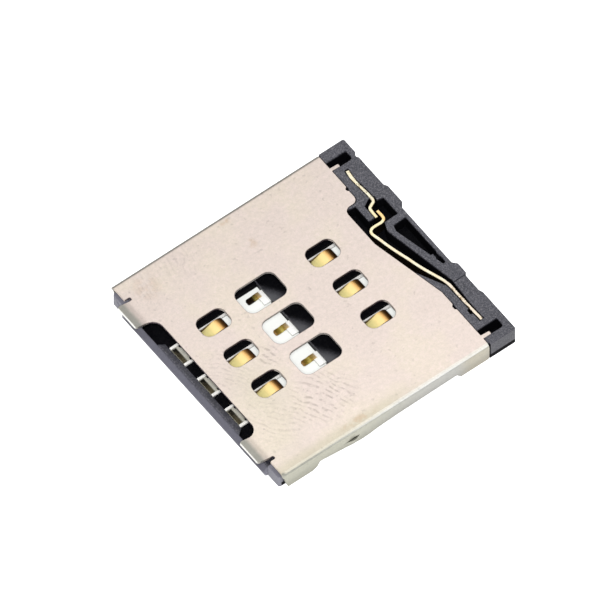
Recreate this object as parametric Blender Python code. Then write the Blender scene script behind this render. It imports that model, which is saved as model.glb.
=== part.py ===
"""A micro-SIM card reader for a circuit board: a folded sheet cover over a moulded base, with
two rows of sprung contacts and a card-detect switch behind the card.

Plan points are in millimetres in a drawing frame: X runs from the front edge of the cover's roof
towards the switch, Y from the outer face of the near side wall, and Z up from the board. Each body
is moved from there into the row frame, whose origin is the middle of the bottom of the whole part.
"""

import math

import bmesh
import bpy
from mathutils import Vector, geometry

MM = 0.001

# Overall sizes of the cover
COVER_LENGTH = 14.37
COVER_WIDTH = 15.88
HEIGHT = 1.35
SHEET = 0.15
FOLD_RADIUS = 0.30

# Where the card's contacts lie
CARD_AXIS_Y = COVER_WIDTH / 2
COLUMN_PITCH = 2.54
ROW_SPACING = 7.62
FRONT_ROW_X = 3.06
WINDOW_X = 6.34

# Gaps between neighbouring pieces
FIT_GAP = 0.02
COVER_GAP = 0.04
SIDE_GAP = 0.12

# Openings in the roof
SLOT_SIZE = (1.90, 1.40)
SLOT_RADIUS = 0.48
WINDOW_SIZE = (2.74, 1.86)
WINDOW_RADIUS = 0.50

# Entry lips and the notch between them
NOTCH_HALF = 4.75
NOTCH_DEPTH = 0.68
NOTCH_RADIUS = 0.68
LIP_OUTER_HALF = 6.48
LIP_REACH = 0.70
LIP_BEND_START = 0.30
LIP_BEND_LENGTH = 0.30
LIP_ANGLE = math.radians(15)
RELIEF_WIDTH = 0.23
RELIEF_END = 0.38

# Rear edge of the roof, and the two tabs that drop into the base
REAR_NOTCH_X = 13.35
REAR_NOTCH_FAR_Y = 12.05
REAR_NOTCH_TURN_Y = 9.20
REAR_SLANT_END_Y = 4.40
TAB_LENGTH = 0.58
TAB_WIDTH = 0.21
TAB_DROP = 0.06
NEAR_TAB_Y = 0.60
FAR_TAB_Y = 14.50

# Side walls
FOOT_RANGES = ((0.33, 2.05), (12.41, 14.33))
LANCE_RANGE = (4.13, 5.33)
LANCE_Z = 0.70
LANCE_HEIGHT = 0.09
LANCE_DEPTH = 0.13
LANCE_FOOT_Z = 0.10
LANCE_SKEW = 1.6
# The walls' lower edge between the feet: distance along the wall, height above the board
WALL_EDGE = (
    (2.36, 0.18),
    (2.55, 0.54),
    (3.60, 0.36),
    (5.45, 0.08),
    (5.95, 0.10),
    (6.60, 0.22),
    (8.00, 0.31),
    (12.09, 0.40),
)

# Moulded base
FLOOR_TOP = 0.40
WEB = 0.06
RAIL_WIDTH = 1.04
RAIL_FRONT_X = -0.12
RAIL_STEP_X = 0.35
RAIL_STEP_Z = 0.90
RAIL_CHAMFER = 0.10
BAR_FRONT_X = -0.27
BAR_INNER_X = 0.42
BAR_NOSE_Z = 0.14
RAMP_END_X = 0.12
CARD_END_X = 13.30
BLOCK_REAR_X = 16.12
PAD_REAR_X = 16.26
WALL_REAR_X = 16.02
FAR_SIDE_Y = 15.81
TROUGH_REAR_X = 1.10
TROUGH_HALF = 3.60
TROUGH_END_X = 0.05
TROUGH_END_HALF = 5.20
CENTRE_OPENING_X = (4.90, 6.93)
POCKET_FLOOR = 0.30
CORE_REAR_X = 15.80
TAB_POCKET_X = (14.20, 15.80)
TAB_POCKET_WIDTH = 0.66
SEAM_Y = 4.55
SEAM_WIDTH = 0.05
SEAM_DEPTH = 0.10
RIB_RANGE = (6.42, 6.74)
RIB_TOP = 1.08

# Contacts
CONTACT_SHEET = 0.12
FRAME_TOP = 0.20
FRAME_HALF = 0.74
RAIL_INNER = 0.61
TONGUE_HALF = 0.40
TONGUE_TIP_HALF = 0.38
FRAME_REAR = 1.79
FRAME_OPEN_END = 1.44
TONGUE_ROOT = -2.06
BAND_FRONT = -2.30
TAIL_BEND = -2.45
TAIL_RADIUS = 0.14
TAIL_FOOT_Z = 0.02
TAIL_RECESS = (-2.54, -2.22)
TAIL_INNER = 0.57
TIP_OPENING = (-0.10, 1.40)
NECK_SIDES = (-0.19, 0.73)
TAIL_PLATE_X = 6.48
FINGER_SIDES = (0.37, 0.73)
FINGER_END_X = 5.80
FINGER_DROP = 0.05
# Rise of the tongue's upper face: distance past the row's centre line, height above the board
TONGUE_PROFILE = (
    (TONGUE_ROOT, FRAME_TOP),
    (-1.76, 0.215),
    (-1.30, 0.34),
    (-0.70, 0.55),
    (-0.20, 0.72),
    (0.12, 0.79),
    (0.38, 0.80),
    (0.62, 0.74),
    (0.78, 0.62),
    (0.88, 0.46),
)

# Switch strips, both standing on edge
STRIP = 0.16
STRIP_TOP = 1.28
STRIP_BOTTOM = FLOOR_TOP + 0.05
PIN_FOOT_Z = 0.02
PIN_WIDTH = 0.30
FIXED_PATH = (
    (15.11, 14.04),
    (15.03, 13.50),
    (15.05, 12.86),
    (15.11, 12.00),
    (15.04, 11.58),
    (14.80, 11.43),
    (14.60, 11.30),
    (14.55, 11.00),
    (14.54, 10.60),
)
ARM_PATH = (
    (14.83, 10.93),
    (14.84, 10.52),
    (14.78, 10.28),
    (14.56, 10.18),
    (14.26, 10.18),
    (13.92, 10.17),
    (13.72, 10.04),
    (13.68, 9.80),
    (13.80, 9.25),
    (13.96, 8.48),
    (14.24, 7.45),
    (14.52, 6.41),
    (14.79, 5.63),
    (14.98, 5.05),
    (15.07, 4.50),
    (15.08, 3.60),
    (15.10, 2.90),
    (15.12, 1.70),
)
ARM_PIVOT = (15.10, 2.90)

# The row frame's origin in the drawing frame
LIP_FRONT_X = (
    LIP_BEND_START
    - LIP_BEND_LENGTH / LIP_ANGLE * math.sin(LIP_ANGLE)
    - LIP_REACH * math.cos(LIP_ANGLE)
    - SHEET * math.sin(LIP_ANGLE)
)
ORIGIN_X = (LIP_FRONT_X + PAD_REAR_X) / 2
ORIGIN_Y = COVER_WIDTH / 2


def row_point(x, y, z):
    """A drawing-frame point in millimetres, as a point of the row frame in metres."""
    return Vector(((x - ORIGIN_X) * MM, (y - ORIGIN_Y) * MM, z * MM))


def column_ys():
    """The Y of the near, middle and far contact columns."""
    return [CARD_AXIS_Y + step * COLUMN_PITCH for step in (-1, 0, 1)]


def rear_row_x():
    return FRONT_ROW_X + ROW_SPACING


# Outlines


def fillet(corners, steps=5):
    """Corners given as (x, y, radius), each rounded by its own radius."""
    outline = []
    count = len(corners)
    for i, (x, y, radius) in enumerate(corners):
        here = Vector((x, y))
        if radius <= 0:
            outline.append((x, y))
            continue
        before = (Vector(corners[i - 1][:2]) - here).normalized()
        after = (Vector(corners[(i + 1) % count][:2]) - here).normalized()
        half = before.angle(after) / 2
        centre = here + (before + after).normalized() * (radius / math.sin(half))
        start = here + before * (radius / math.tan(half)) - centre
        sweep = start.angle_signed(here + after * (radius / math.tan(half)) - centre)
        for k in range(steps + 1):
            turn = -sweep * k / steps
            outline.append(
                (
                    centre.x + start.x * math.cos(turn) - start.y * math.sin(turn),
                    centre.y + start.x * math.sin(turn) + start.y * math.cos(turn),
                )
            )
    return outline


def rounded_rectangle(centre, size, radius):
    (cx, cy), (sx, sy) = centre, size
    signs = ((-1, -1), (1, -1), (1, 1), (-1, 1))
    return fillet([(cx + a * sx / 2, cy + b * sy / 2, radius) for a, b in signs])


def smooth_path(points, steps=4):
    """A curve through the points, as short straight runs."""
    path = []
    last = len(points) - 1
    for i in range(last):
        p = [Vector(points[min(max(i + k, 0), last)]) for k in (-1, 0, 1, 2)]
        for k in range(steps):
            t = k / steps
            path.append(
                0.5
                * (
                    2 * p[1]
                    + (p[2] - p[0]) * t
                    + (2 * p[0] - 5 * p[1] + 4 * p[2] - p[3]) * t * t
                    + (3 * p[1] - p[0] - 3 * p[2] + p[3]) * t**3
                )
            )
    path.append(Vector(points[last]))
    return path


def stations_of(path):
    """How far along the path each of its points lies."""
    far = [0.0]
    for a, b in zip(path, path[1:]):
        far.append(far[-1] + (b - a).length)
    return far


def side_normals(path):
    """At each point, the vector to the path's left that keeps a strip's width on both runs."""
    normals = []
    for i, here in enumerate(path):
        before = path[i] - path[i - 1] if i > 0 else path[1] - path[0]
        after = path[i + 1] - here if i + 1 < len(path) else before
        a = Vector((-before.y, before.x)).normalized()
        b = Vector((-after.y, after.x)).normalized()
        middle = (a + b).normalized()
        normals.append(middle / middle.dot(a))
    return normals


def band_round(path, left, right):
    """The outline of a band along a path, with its own width on each side."""
    normals = side_normals(path)
    one = [p + n * left for p, n in zip(path, normals)]
    other = [p - n * right for p, n in zip(path, normals)]
    return [(p.x, p.y) for p in one + other[::-1]]


def inside(point, loop):
    x, y = point
    found = False
    for (ax, ay), (bx, by) in zip(loop, loop[1:] + loop[:1]):
        if (ay > y) != (by > y) and x < (bx - ax) * (y - ay) / (by - ay) + ax:
            found = not found
    return found


# Bodies


def finish(name, bm, material, pivot=None):
    """A named object from a closed bmesh body, with its origin at the pivot if there is one."""
    origin = row_point(*pivot) if pivot else Vector((0, 0, 0))
    bmesh.ops.translate(bm, verts=bm.verts, vec=-origin)
    bmesh.ops.recalc_face_normals(bm, faces=bm.faces)
    mesh = bpy.data.meshes.new(name)
    bm.to_mesh(mesh)
    bm.free()
    body = bpy.data.objects.new(name, mesh)
    body.location = origin
    if material:
        mesh.materials.append(material)
    bpy.context.scene.collection.objects.link(body)
    return body


def add_prism(bm, outline, low, high, along="z"):
    """Extrude a flat outline along one axis. Its points give the other two coordinates in turn."""
    axis = "xyz".index(along)
    reach = Vector((0, 0, 0))
    reach[axis] = (high - low) * MM
    corners = []
    for a, b in outline:
        point = [a, b]
        point.insert(axis, low)
        corners.append(bm.verts.new(row_point(*point)))
    face = bm.faces.new(corners)
    grown = bmesh.ops.extrude_face_region(bm, geom=[face])
    moved = [v for v in grown["geom"] if isinstance(v, bmesh.types.BMVert)]
    bmesh.ops.translate(bm, verts=moved, vec=reach)


def add_box(bm, xs, ys, zs):
    outline = [(xs[0], ys[0]), (xs[1], ys[0]), (xs[1], ys[1]), (xs[0], ys[1])]
    add_prism(bm, outline, *zs)


def cutter(name, fill):
    """A hidden tool body, whose solids the function fill adds."""
    bm = bmesh.new()
    fill(bm)
    body = finish(name, bm, None)
    body.hide_render = True
    body.display_type = "WIRE"
    return body


def cut(body, tool):
    modifier = body.modifiers.new(tool.name, "BOOLEAN")
    modifier.operation = "DIFFERENCE"
    modifier.solver = "EXACT"
    modifier.object = tool


def formed_sheet(outline, holes, folds, place, thickness):
    """A stamped blank in (u, v), split along its fold lines and bent by place(u, v, depth).

    Depth 0 is the upper or outer face and the thickness is the other one.
    """
    points, edges = [], []
    for loop in [outline, *holes]:
        first = len(points)
        points += [Vector(p) for p in loop]
        ring = list(range(first, len(points)))
        edges += list(zip(ring, ring[1:] + ring[:1]))
    for a, b in folds:
        edges.append((len(points), len(points) + 1))
        points += [Vector(a), Vector(b)]
    flat, _, triangles, *_ = geometry.delaunay_2d_cdt(points, edges, [], 0, 1e-5)
    kept = []
    for tri in triangles:
        a, b, c = [flat[i] for i in tri]
        middle = ((a.x + b.x + c.x) / 3, (a.y + b.y + c.y) / 3)
        if not inside(middle, outline) or any(inside(middle, hole) for hole in holes):
            continue
        turned = (b - a).cross(c - a) < 0
        kept.append(tuple(reversed(tri)) if turned else tuple(tri))
    bm = bmesh.new()
    used = sorted({i for tri in kept for i in tri})
    upper = {i: bm.verts.new(row_point(*place(*flat[i], 0.0))) for i in used}
    lower = {i: bm.verts.new(row_point(*place(*flat[i], thickness))) for i in used}
    sides = set()
    for tri in kept:
        bm.faces.new([upper[i] for i in tri])
        bm.faces.new([lower[i] for i in reversed(tri)])
        for edge in zip(tri, tri[1:] + tri[:1]):
            if edge[::-1] in sides:
                sides.remove(edge[::-1])
            else:
                sides.add(edge)
    for i, j in sides:
        bm.faces.new([upper[j], upper[i], lower[i], lower[j]])
    return bm


# The cover


def wall_v(z):
    """The near wall's blank coordinate at a height."""
    return FOLD_RADIUS - FOLD_RADIUS * math.pi / 2 - (HEIGHT - FOLD_RADIUS - z)


def mirrored(v):
    return COVER_WIDTH - v


def is_lip(u, v):
    side = abs(v - CARD_AXIS_Y)
    edge = LIP_OUTER_HALF + RELIEF_WIDTH / 2
    return u < LIP_BEND_START and NOTCH_HALF - NOTCH_RADIUS - 0.1 < side < edge


def roof_place(u, v, depth):
    """The flat roof, with the entry lips curled up and the rear tabs turned down."""
    if is_lip(u, v):
        run = LIP_BEND_START - u
        bent = min(run / LIP_BEND_LENGTH, 1.0)
        angle = LIP_ANGLE * bent
        radius = LIP_BEND_LENGTH / LIP_ANGLE
        straight = max(run - LIP_BEND_LENGTH, 0.0)
        x = LIP_BEND_START - radius * math.sin(angle) - straight * math.cos(angle)
        z = HEIGHT + radius * (1 - math.cos(angle)) + straight * math.sin(angle)
        return x - depth * math.sin(angle), v, z - depth * math.cos(angle)
    drop = TAB_DROP * max(u - COVER_LENGTH - 0.05, 0.0) / (TAB_LENGTH - 0.05)
    return u, v, HEIGHT - depth - drop


def lance_push(u, z):
    """How far the lanced strip of a side wall leans outwards, most at its top."""
    low, high = LANCE_RANGE
    along = (u - low) / (high - low)
    top = LANCE_Z - LANCE_HEIGHT / 2
    if not 0 < along < 1 or z > top + 0.001:
        return 0.0
    lean = max((z - LANCE_FOOT_Z) / (top - LANCE_FOOT_Z), 0.0)
    return LANCE_DEPTH * lean * math.sin(math.pi * along**LANCE_SKEW) ** 2


def cover_place(u, v, depth):
    near = v < COVER_WIDTH / 2
    run = FOLD_RADIUS - (v if near else mirrored(v))
    if run <= 0:
        return roof_place(u, v, depth)
    arc = FOLD_RADIUS * math.pi / 2
    if run <= arc:
        turn = run / FOLD_RADIUS
        y = FOLD_RADIUS - (FOLD_RADIUS - depth) * math.sin(turn)
        z = HEIGHT - FOLD_RADIUS + (FOLD_RADIUS - depth) * math.cos(turn)
    else:
        z = HEIGHT - FOLD_RADIUS - (run - arc)
        y = depth - lance_push(u, z)
    return u, y if near else mirrored(y), z


def wall_edge():
    """The lower edge of the near wall, from front to rear."""
    (a, b), (c, d) = FOOT_RANGES
    profile = [
        (0.0, HEIGHT - FOLD_RADIUS, 0),
        (0.08, 0.98, 0.1),
        (0.18, 0.42, 0.1),
        (a, 0.0, 0.05),
        (b, 0.0, 0.15),
        *[(x, z, 0.05) for x, z in WALL_EDGE],
        (c, 0.0, 0.05),
        (d, 0.0, 0.05),
        (COVER_LENGTH, 0.30, 0.1),
        (COVER_LENGTH, HEIGHT - FOLD_RADIUS, 0),
    ]
    return [(x, wall_v(z), r) for x, z, r in profile]


def rear_edge():
    """The roof's rear edge, from the near side to the far side."""
    end, tab = COVER_LENGTH, COVER_LENGTH + TAB_LENGTH
    near_root = NEAR_TAB_Y - 0.04
    return [
        (end, near_root, 0),
        (tab, NEAR_TAB_Y, 0.05),
        (tab, NEAR_TAB_Y + TAB_WIDTH, 0.05),
        (end, NEAR_TAB_Y + TAB_WIDTH, 0.05),
        (end, 3.00, 0.05),
        (end - 0.10, 3.08, 0.05),
        (end - 0.10, 3.30, 0.05),
        (end + 0.02, 3.42, 0.05),
        (end + 0.02, REAR_SLANT_END_Y, 0.5),
        (REAR_NOTCH_X, REAR_NOTCH_TURN_Y, 0.8),
        (REAR_NOTCH_X, REAR_NOTCH_FAR_Y, 0.4),
        (end - 0.04, REAR_NOTCH_FAR_Y, 0.35),
        (end - 0.04, 12.88, 0.03),
        (end - 0.13, 12.95, 0.03),
        (end - 0.13, 13.10, 0.03),
        (end, 13.18, 0.03),
        (end, FAR_TAB_Y, 0.05),
        (tab, FAR_TAB_Y, 0.05),
        (tab, FAR_TAB_Y + TAB_WIDTH, 0.05),
        (end, FAR_TAB_Y + TAB_WIDTH, 0),
    ]


def front_edge():
    """The roof's front edge, from the far side to the near side."""
    edge = []
    for side in (1, -1):
        outer = CARD_AXIS_Y + side * LIP_OUTER_HALF
        slot = outer + side * RELIEF_WIDTH
        inner = CARD_AXIS_Y + side * NOTCH_HALF
        corners = [
            (0.0, slot, 0.05),
            (RELIEF_END, slot, 0.1),
            (RELIEF_END, outer, 0.1),
            (-LIP_REACH, outer, 0.15),
            (-LIP_REACH, inner, 0.15),
            (NOTCH_DEPTH, inner, NOTCH_RADIUS),
        ]
        edge += corners if side == 1 else corners[::-1]
    return edge


def fold_lines():
    """Lines along X through each fold, and lines across the lips' and the lance's bends."""
    lines = []
    arc = FOLD_RADIUS * math.pi / 2
    low, high = -LIP_REACH - 1, COVER_LENGTH + 1
    for k in range(7):
        v = FOLD_RADIUS - arc * k / 6
        lines.append(((low, v), (high, v)))
        lines.append(((low, mirrored(v)), (high, mirrored(v))))
    for k in range(5):
        u = LIP_BEND_START - LIP_BEND_LENGTH * k / 4
        for side in (-1, 1):
            a = CARD_AXIS_Y + side * (NOTCH_HALF - NOTCH_RADIUS)
            b = CARD_AXIS_Y + side * (LIP_OUTER_HALF + RELIEF_WIDTH / 2)
            lines.append(((u, a), (u, b)))
    a, b = LANCE_RANGE
    for k in range(1, 8):
        u = a + (b - a) * k / 8
        for flip in (lambda v: v, mirrored):
            top = flip(wall_v(LANCE_Z - LANCE_HEIGHT / 2))
            lines.append(((u, flip(wall_v(0.1))), (u, top)))
    for v in (FOLD_RADIUS, mirrored(FOLD_RADIUS)):
        lines.append(((COVER_LENGTH, v), (COVER_LENGTH, COVER_WIDTH / 2)))
    return lines


def lance_hole(flip):
    """The slit above the lanced strip, widest near its rear end, as a hole in the blank."""
    a, b = LANCE_RANGE
    low = LANCE_Z - LANCE_HEIGHT / 2
    under = [(a + (b - a) * k / 8, flip(wall_v(low))) for k in range(9)]
    over = []
    for k in range(7, 0, -1):
        rise = LANCE_HEIGHT * math.sin(math.pi * (k / 8) ** LANCE_SKEW)
        over.append((a + (b - a) * k / 8, flip(wall_v(low + rise))))
    return under + over


def build_cover(material):
    near = wall_edge()
    far = [(x, mirrored(v), r) for x, v, r in near[::-1]]
    outline = fillet(near + rear_edge() + far + front_edge())
    holes = [lance_hole(lambda v: v), lance_hole(mirrored)]
    for y in column_ys():
        holes.append(rounded_rectangle((FRONT_ROW_X, y), SLOT_SIZE, SLOT_RADIUS))
        holes.append(rounded_rectangle((rear_row_x(), y), SLOT_SIZE, SLOT_RADIUS))
        holes.append(rounded_rectangle((WINDOW_X, y), WINDOW_SIZE, WINDOW_RADIUS))
    bm = formed_sheet(outline, holes, fold_lines(), cover_place, SHEET)
    return finish("cover_shell", bm, material)


# The contacts


def profile_place(path, far, u):
    """A point and its upward normal on a bent profile, at a distance along it."""
    normals = side_normals(path)
    for i in range(len(path) - 1):
        if u <= far[i + 1] + 1e-6:
            t = (u - far[i]) / (far[i + 1] - far[i])
            point = path[i].lerp(path[i + 1], t)
            return point, normals[i].lerp(normals[i + 1], t)
    return path[-1], normals[-1]


def tongue_outline(far):
    """The free edge of the tongue in the blank: along its far side, round the tip and back."""
    last = far[-1]
    tip = 0.28
    side = []
    for s in far:
        if s < last - tip:
            half = TONGUE_HALF + (TONGUE_TIP_HALF - TONGUE_HALF) * s / last
        else:
            half = TONGUE_TIP_HALF - 0.2 * (1 - math.sqrt(1 - ((s - last + tip) / tip) ** 2))
        side.append((TONGUE_ROOT + s, half))
    return side + [(u, -half) for u, half in side[::-1]]


def contact_blank(path, far):
    """The window round the tongue and the fold lines across it, both about the row's centre."""
    window = [
        (TONGUE_ROOT, -RAIL_INNER),
        (FRAME_OPEN_END, -RAIL_INNER),
        (FRAME_OPEN_END, RAIL_INNER),
        (TONGUE_ROOT, RAIL_INNER),
    ]
    tongue = tongue_outline(far)
    folds = []
    for i in range(1, len(far) - 1):
        u, half = tongue[i]
        folds.append(((u, -half), (u, half)))
    return window + tongue, folds


def build_contact(name, row_x, column_y, with_neck, material):
    """One stamped frame with its sprung tongue, and the tail of its own row."""
    path = smooth_path(TONGUE_PROFILE, 3)
    far = stations_of(path)
    window, folds = contact_blank(path, far)
    holes = [window]
    if with_neck:
        plate, end = TAIL_PLATE_X - row_x, FINGER_END_X - row_x
        outline = fillet(
            [
                (BAND_FRONT, -FRAME_HALF, 0.1),
                (FRAME_REAR, -FRAME_HALF, 0.1),
                (FRAME_REAR, FRAME_HALF, 0.1),
                (plate + 0.9, FRAME_HALF, 0.1),
                (plate + 0.8, NECK_SIDES[1], 0),
                (end, FINGER_SIDES[1], 0.1),
                (end, FINGER_SIDES[0], 0.1),
                (plate, FINGER_SIDES[0], 0.03),
                (plate, NECK_SIDES[0], 0.06),
                (BAND_FRONT, NECK_SIDES[0], 0.1),
            ],
            3,
        )
        bend = [plate - 0.06 - 0.07 * k for k in range(5)]
        folds += [((u, FINGER_SIDES[0]), (u, FINGER_SIDES[1])) for u in bend]
    else:
        drop = FRAME_TOP - TAIL_FOOT_Z - TAIL_RADIUS
        front = TAIL_BEND - TAIL_RADIUS * math.pi / 2 - drop
        outline = fillet(
            [
                (front, -FRAME_HALF, 0.1),
                (FRAME_REAR, -FRAME_HALF, 0.1),
                (FRAME_REAR, FRAME_HALF, 0.1),
                (front, FRAME_HALF, 0.1),
            ],
            3,
        )
        signs = ((0, -1), (1, -1), (1, 1), (0, 1))
        holes.append([(TAIL_RECESS[a], b * TAIL_INNER) for a, b in signs])
        bend = [TAIL_BEND - TAIL_RADIUS * math.pi / 2 * k / 4 for k in range(5)]
        folds += [((u, -FRAME_HALF), (u, FRAME_HALF)) for u in bend]

    def place(u, v, depth):
        x, z = u, FRAME_TOP - depth
        if u > TONGUE_ROOT and abs(v) < (TONGUE_HALF + RAIL_INNER) / 2 and u < FRAME_OPEN_END:
            point, normal = profile_place(path, far, u - TONGUE_ROOT)
            x, z = point.x - normal.x * depth, point.y - normal.y * depth
        elif with_neck and u < bend[0]:
            part = min((bend[0] - u) / (bend[0] - bend[-1]), 1.0)
            z -= FINGER_DROP * (1 - math.cos(math.pi * part)) / 2
        elif not with_neck and u < TAIL_BEND:
            turn = min((TAIL_BEND - u) / TAIL_RADIUS, math.pi / 2)
            rest = TAIL_BEND - u - TAIL_RADIUS * turn
            x = TAIL_BEND - (TAIL_RADIUS - depth) * math.sin(turn)
            z = FRAME_TOP - TAIL_RADIUS + (TAIL_RADIUS - depth) * math.cos(turn) - rest
        return row_x + x, column_y + v, z

    bm = formed_sheet(outline, holes, folds, place, CONTACT_SHEET)
    return finish(name, bm, material)


def build_contacts(material):
    for side, y in zip(("near", "middle", "far"), column_ys()):
        build_contact("contact_front_" + side, FRONT_ROW_X, y, False, material)
        build_contact("contact_rear_" + side, rear_row_x(), y, True, material)


# The switch


def build_strip(name, points, pin_at, pivot, material):
    """A strip on edge along a path in plan, with a solder pin below one point of it."""
    path = smooth_path(points)
    far = stations_of(path)
    nearest = min(range(len(path)), key=lambda i: (path[i] - Vector(pin_at)).length)
    middle = far[nearest]
    outline = [
        (0.0, STRIP_BOTTOM),
        (middle - PIN_WIDTH / 2, STRIP_BOTTOM),
        (middle - PIN_WIDTH / 2, PIN_FOOT_Z),
        (middle + PIN_WIDTH / 2, PIN_FOOT_Z),
        (middle + PIN_WIDTH / 2, STRIP_BOTTOM),
        (far[-1], STRIP_BOTTOM),
        (far[-1], STRIP_TOP),
        (0.0, STRIP_TOP),
    ]
    folds = [((s, PIN_FOOT_Z), (s, STRIP_TOP)) for s in far[1:-1]]

    def place(s, z, depth):
        point, normal = profile_place(path, far, s)
        shift = STRIP / 2 - depth
        return point.x + normal.x * shift, point.y + normal.y * shift, z

    bm = formed_sheet(outline, [], folds, place, STRIP)
    return finish(name, bm, material, pivot)


def build_switch(material):
    build_strip("switch_fixed_contact", FIXED_PATH, FIXED_PATH[1], None, material)
    pivot = (*ARM_PIVOT, STRIP_BOTTOM)
    build_strip("switch_spring_arm", ARM_PATH, ARM_PIVOT, pivot, material)


# The moulded base


def rail_sides():
    """The Y of the near rail's outer and inner sides."""
    return SHEET + SIDE_GAP, SHEET + SIDE_GAP + RAIL_WIDTH


def base_outline():
    """The plan of the moulding, from the near front corner round to the far one."""
    side, bar_end = rail_sides()
    step = COVER_LENGTH + COVER_GAP
    far = COVER_WIDTH - side
    bar = (bar_end, COVER_WIDTH - bar_end)
    corners = [
        (RAIL_FRONT_X, bar[0], 0),
        (RAIL_FRONT_X, side, 0.15),
        (step, side, 0),
        (step, 0.0, 0.05),
        (BLOCK_REAR_X + 0.10, 0.0, 0.1),
        (BLOCK_REAR_X + 0.10, 3.05, 0.05),
        (BLOCK_REAR_X, 3.27, 0.05),
        (BLOCK_REAR_X, SEAM_Y - 0.05, 0),
        (PAD_REAR_X, SEAM_Y + 0.10, 0.05),
        (PAD_REAR_X, 5.40, 0.15),
        (WALL_REAR_X, 5.65, 0.15),
        (WALL_REAR_X, 10.25, 0.15),
        (PAD_REAR_X, 10.50, 0.15),
        (PAD_REAR_X, 11.85, 0.15),
        (BLOCK_REAR_X, 12.05, 0.15),
        (BLOCK_REAR_X, 14.33, 0),
        (BLOCK_REAR_X - 0.08, 14.42, 0),
        (BLOCK_REAR_X - 0.08, 14.60, 0),
        (BLOCK_REAR_X + 0.05, 14.72, 0.04),
        (BLOCK_REAR_X + 0.05, FAR_SIDE_Y, 0.08),
        (step, FAR_SIDE_Y, 0.05),
        (step, far, 0),
        (RAIL_FRONT_X, far, 0.15),
        (RAIL_FRONT_X, bar[1], 0),
        (BAR_FRONT_X, bar[1], 0.08),
        (BAR_FRONT_X, bar[0], 0.08),
    ]
    return fillet(corners, 4)


def card_space(bm):
    """Where the card and the arm move, open to the front and, past the roof, to the top."""
    side = rail_sides()[1]
    far = COVER_WIDTH - side
    outline = [
        (-2.0, side),
        (CARD_END_X, side),
        (CARD_END_X, 6.10),
        (14.02, 6.30),
        (14.88, 4.55),
        (14.93, 4.20),
        (14.95, 3.00),
        (14.94, 2.66),
        (14.78, 2.62),
        (14.76, 2.30),
        (14.93, 2.22),
        (14.92, 1.62),
        (15.24, 1.62),
        (ARM_PIVOT[0] + 0.13, ARM_PIVOT[1]),
        (15.34, 4.74),
        (14.45, 9.50),
        (14.66, 10.02),
        (15.61, 10.05),
        (15.61, 11.38),
        (15.22, 11.48),
        (15.26, 11.80),
        (14.86, 11.80),
        (14.40, 11.55),
        (14.38, 10.60),
        (14.00, 10.60),
        (14.00, 11.85),
        (CARD_END_X, 11.95),
        (CARD_END_X, far),
        (-2.0, far),
    ]
    add_prism(bm, outline, FLOOR_TOP, 3.0)


def under_roof(bm):
    """The layer of the moulding that the roof takes, a little larger than the roof."""
    step = COVER_LENGTH + COVER_GAP
    corners = [
        (-2.0, -2.0, 0),
        (step, -2.0, 0),
        (step, 3.25, 0),
        (step + 0.02, 3.45, 0),
        (step + 0.02, REAR_SLANT_END_Y, 0.5),
        (REAR_NOTCH_X + COVER_GAP, REAR_NOTCH_TURN_Y, 0.8),
        (REAR_NOTCH_X + COVER_GAP, REAR_NOTCH_FAR_Y - COVER_GAP, 0.36),
        (step - 0.04, REAR_NOTCH_FAR_Y - COVER_GAP, 0.35),
        (step - 0.04, 12.90, 0),
        (step, 13.05, 0),
        (step, 18.0, 0),
        (-2.0, 18.0, 0),
    ]
    add_prism(bm, fillet(corners), HEIGHT - SHEET - FIT_GAP, 3.0)


def rail_chamfers(bm):
    """A chamfer along each rail, which clears the inside of the cover's folds."""
    top = HEIGHT - SHEET - FIT_GAP
    side = rail_sides()[0]
    for y, way in ((side, 1), (COVER_WIDTH - side, -1)):
        low = (y - way, top - RAIL_CHAMFER - 1)
        high = (y + way * (RAIL_CHAMFER + 1), top + 1)
        add_prism(bm, [low, high, (y - way, top + 1)], -1.0, COVER_LENGTH + COVER_GAP, along="x")


def rail_fronts(bm):
    """The rails step down in front, under the cover's corners."""
    add_box(bm, (-2.0, RAIL_STEP_X), (-1.0, COVER_WIDTH + 1), (RAIL_STEP_Z, 3.0))


def switch_slots(bm):
    fixed = [p for p in smooth_path(FIXED_PATH) if p.y > 11.7]
    reach = Vector((0.0, 0.08))
    path = [fixed[0] + reach, *fixed[1:], fixed[-1] - Vector((0.0, 0.1))]
    gap = STRIP / 2
    add_prism(bm, band_round(path, gap + FIT_GAP, gap + 0.08), FLOOR_TOP, 3.0)


def pin_holes(bm):
    """Passages down to the board for the two switch pins."""
    for x, y in (FIXED_PATH[1], ARM_PIVOT):
        half_x, half_y = STRIP / 2 + 0.05, PIN_WIDTH / 2 + 0.08
        add_box(bm, (x - half_x, x + half_x), (y - half_y, y + half_y), (-1.0, 0.6))


def rear_pockets(bm):
    """The triangular core-out behind the arm, in two parts, and pockets for the roof's tabs."""
    start, end = Vector((14.81, 9.16)), Vector((15.60, 5.85))
    near, far = [start.lerp(end, (start.y - y) / (start.y - end.y)).x for y in RIB_RANGE]
    large = [
        (14.92, 9.58, 0.05),
        (*start, 0.05),
        (far, RIB_RANGE[1], 0.03),
        (CORE_REAR_X, RIB_RANGE[1], 0.05),
        (CORE_REAR_X, 9.62, 0.08),
    ]
    small = [
        (near, RIB_RANGE[0], 0.03),
        (*end, 0.06),
        (CORE_REAR_X, 5.90, 0.05),
        (CORE_REAR_X, RIB_RANGE[0], 0.05),
    ]
    for corners in (large, small):
        add_prism(bm, fillet(corners, 3), FLOOR_TOP, 3.0)
    front, rear = TAB_POCKET_X
    for y in (NEAR_TAB_Y - 2 * FIT_GAP, FAR_TAB_Y - 2 * FIT_GAP):
        pocket = [
            (front, y, 0),
            (rear, y, 0.20),
            (rear, y + TAB_POCKET_WIDTH, 0.08),
            (front, y + TAB_POCKET_WIDTH, 0),
        ]
        add_prism(bm, fillet(pocket, 3), POCKET_FLOOR, 3.0)


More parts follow.
